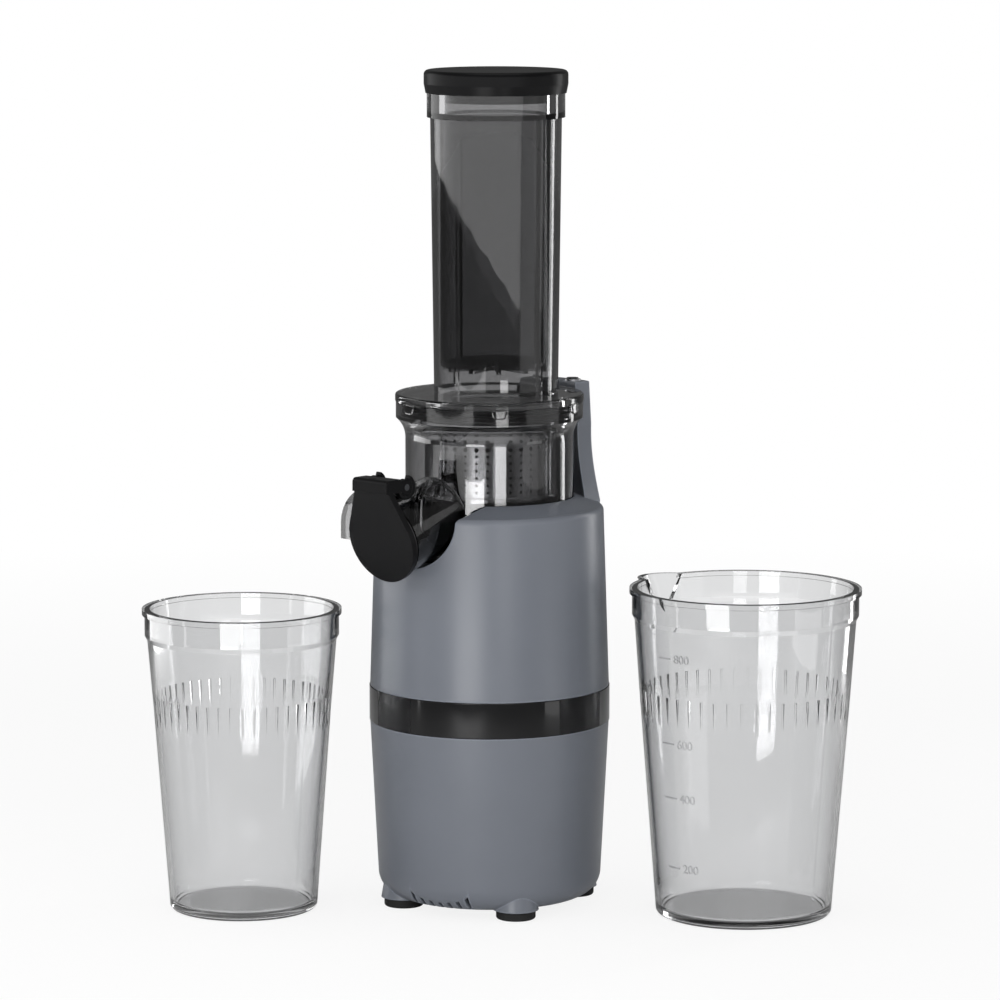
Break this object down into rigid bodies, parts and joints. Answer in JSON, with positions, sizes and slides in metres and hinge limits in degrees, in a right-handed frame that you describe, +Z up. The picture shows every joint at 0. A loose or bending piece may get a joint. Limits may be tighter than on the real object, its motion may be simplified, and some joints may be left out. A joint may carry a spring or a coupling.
{
  "type": "cold press juicer",
  "caption": "Upright slow juicer with a smoked bowl, tall feed tube and pusher, hinged spout cap, push buttons, a juice jug and a pulp cup.",
  "frame": {"origin": "on the floor, at the centre of the set's bounding box", "axes": "+Z up, front with the juice spout faces -Y, +X to the juicer's right as seen from the front"},
  "size_m": [0.2748, 0.2424, 0.3814],
  "materials": {
    "housing_plastic": "satin moulded, slate blue-grey",
    "gloss_band": "polished black",
    "dark_plastic": "fine texture",
    "black_rubber": "matte",
    "bright_steel": "machined",
    "motor_steel": "zinc plated",
    "magnet": "sintered",
    "gear_plastic": "natural nylon",
    "bronze": "sintered",
    "silicone": "soft, matte",
    "circuit_board": "coated board",
    "chrome": "mirror",
    "button_plastic": "satin",
    "smoked_plastic": "smoked, clear",
    "cap_plastic": "satin black",
    "frame_plastic": "satin",
    "screen_steel": "perforated sheet",
    "auger_plastic": "satin",
    "clear_plastic": "clear"
  },
  "bodies": {
    "motor_base": {"lower_housing": "housing_plastic", "upper_housing": "housing_plastic", "decor_band": "gloss_band", "base_cover": "dark_plastic", "cord_gland": "black_rubber", "cover_screws": "bright_steel", "mounting_plate": "bright_steel", "motor_can": "motor_steel", "stator_magnets": "magnet", "lower_end_cap": "motor_steel", "upper_end_cap": "motor_steel", "lower_bearing": "bright_steel", "upper_bearing": "bright_steel", "ring_gear": "gear_plastic", "gearbox_cover": "gear_plastic", "output_bush": "bronze", "shaft_seal": "silicone", "control_board": "circuit_board", "button_switches": "dark_plastic", "button_rings": "chrome", "carbon_brushes": "magnet", "rubber_foot_1": "black_rubber", "rubber_foot_2": "black_rubber", "rubber_foot_3": "black_rubber", "rubber_foot_4": "black_rubber"},
    "rotor": {"rotor_shaft": "bright_steel", "rotor_core": "motor_steel", "commutator": "bronze", "cooling_fan": "gear_plastic", "sun_pinion": "bright_steel"},
    "output_drive": {"planet_carrier": "bright_steel", "planet_pins": "bright_steel", "drive_shaft": "bright_steel"},
    "planet_1": {"planet_gear_1": "gear_plastic"},
    "planet_2": {"planet_gear_2": "gear_plastic"},
    "planet_3": {"planet_gear_3": "gear_plastic"},
    "start_key": {"start_button": "button_plastic"},
    "reverse_key": {"reverse_button": "button_plastic"},
    "bowl": {"juice_bowl": "smoked_plastic", "bowl_seal": "silicone", "pulp_plug": "silicone", "spout_hinge_pin": "dark_plastic"},
    "spout_flap": {"spout_cap": "cap_plastic", "spout_cap_seal": "silicone"},
    "strainer": {"strainer_frame": "frame_plastic", "strainer_screen": "screen_steel"},
    "feed_screw": {"auger": "auger_plastic", "auger_socket": "bright_steel"},
    "lid": {"lid_feed_tube": "smoked_plastic", "lid_seal": "silicone"},
    "pusher": {"pusher_body": "smoked_plastic", "pusher_cap": "cap_plastic"},
    "jug": {"juice_jug": "clear_plastic"},
    "cup": {"pulp_cup": "clear_plastic"}
  },
  "joints": [
    {"name": "drive_spin", "type": "hinge", "parent": "motor_base", "child": "output_drive", "pos_m": [-0.01818, 0.01022, 0.1], "axis": [0, 0, 1], "continuous": true},
    {"name": "rotor_spin", "type": "hinge", "parent": "motor_base", "child": "rotor", "pos_m": [-0.01818, 0.01022, 0.1], "axis": [0, 0, 1], "continuous": true},
    {"name": "planet_spin_1", "type": "hinge", "parent": "output_drive", "child": "planet_1", "pos_m": [0.00208, 0.01022, 0.1], "axis": [0, 0, 1], "continuous": true},
    {"name": "planet_spin_2", "type": "hinge", "parent": "output_drive", "child": "planet_2", "pos_m": [-0.0283, 0.02776, 0.1], "axis": [0, 0, 1], "continuous": true},
    {"name": "planet_spin_3", "type": "hinge", "parent": "output_drive", "child": "planet_3", "pos_m": [-0.0283, -0.00731, 0.1], "axis": [0, 0, 1], "continuous": true},
    {"name": "bowl_lift", "type": "slide", "parent": "motor_base", "child": "bowl", "axis": [0, 0, 1], "range_m": [0, 0.09]},
    {"name": "strainer_lift", "type": "slide", "parent": "bowl", "child": "strainer", "axis": [0, 0, 1], "range_m": [0, 0.075]},
    {"name": "auger_spin", "type": "hinge", "parent": "strainer", "child": "feed_screw", "pos_m": [-0.01818, 0.01022, 0.1], "axis": [0, 0, 1], "continuous": true},
    {"name": "lid_lift", "type": "slide", "parent": "strainer", "child": "lid", "axis": [0, 0, 1], "range_m": [0, 0.05]},
    {"name": "pusher_slide", "type": "slide", "parent": "lid", "child": "pusher", "axis": [0, 0, 1], "range_m": [0, 0.13]},
    {"name": "spout_cap_hinge", "type": "hinge", "parent": "bowl", "child": "spout_flap", "pos_m": [-0.01818, -0.05577, 0.1992], "axis": [-1, 0, 0], "range_deg": [0, 75]},
    {"name": "start_press", "type": "slide", "parent": "motor_base", "child": "start_key", "axis": [0, 0, -1], "range_m": [0, 0.0012], "stiffness_N_per_m": 600},
    {"name": "reverse_press", "type": "slide", "parent": "motor_base", "child": "reverse_key", "axis": [0, 0, -1], "range_m": [0, 0.0012], "stiffness_N_per_m": 600},
    {"name": "juice_jug_lift", "type": "slide", "parent": "motor_base", "child": "jug", "axis": [0, 0, 1], "range_m": [0, 0.12]},
    {"name": "pulp_cup_lift", "type": "slide", "parent": "motor_base", "child": "cup", "axis": [0, 0, 1], "range_m": [0, 0.12]}
  ],
  "couplings": [
    {"joint": "rotor_spin", "follows": "drive_spin", "ratio": 4.5},
    {"joint": "auger_spin", "follows": "drive_spin", "ratio": 1},
    {"joint": "planet_spin_1", "follows": "drive_spin", "ratio": -2.8},
    {"joint": "planet_spin_2", "follows": "drive_spin", "ratio": -2.8},
    {"joint": "planet_spin_3", "follows": "drive_spin", "ratio": -2.8}
  ]
}
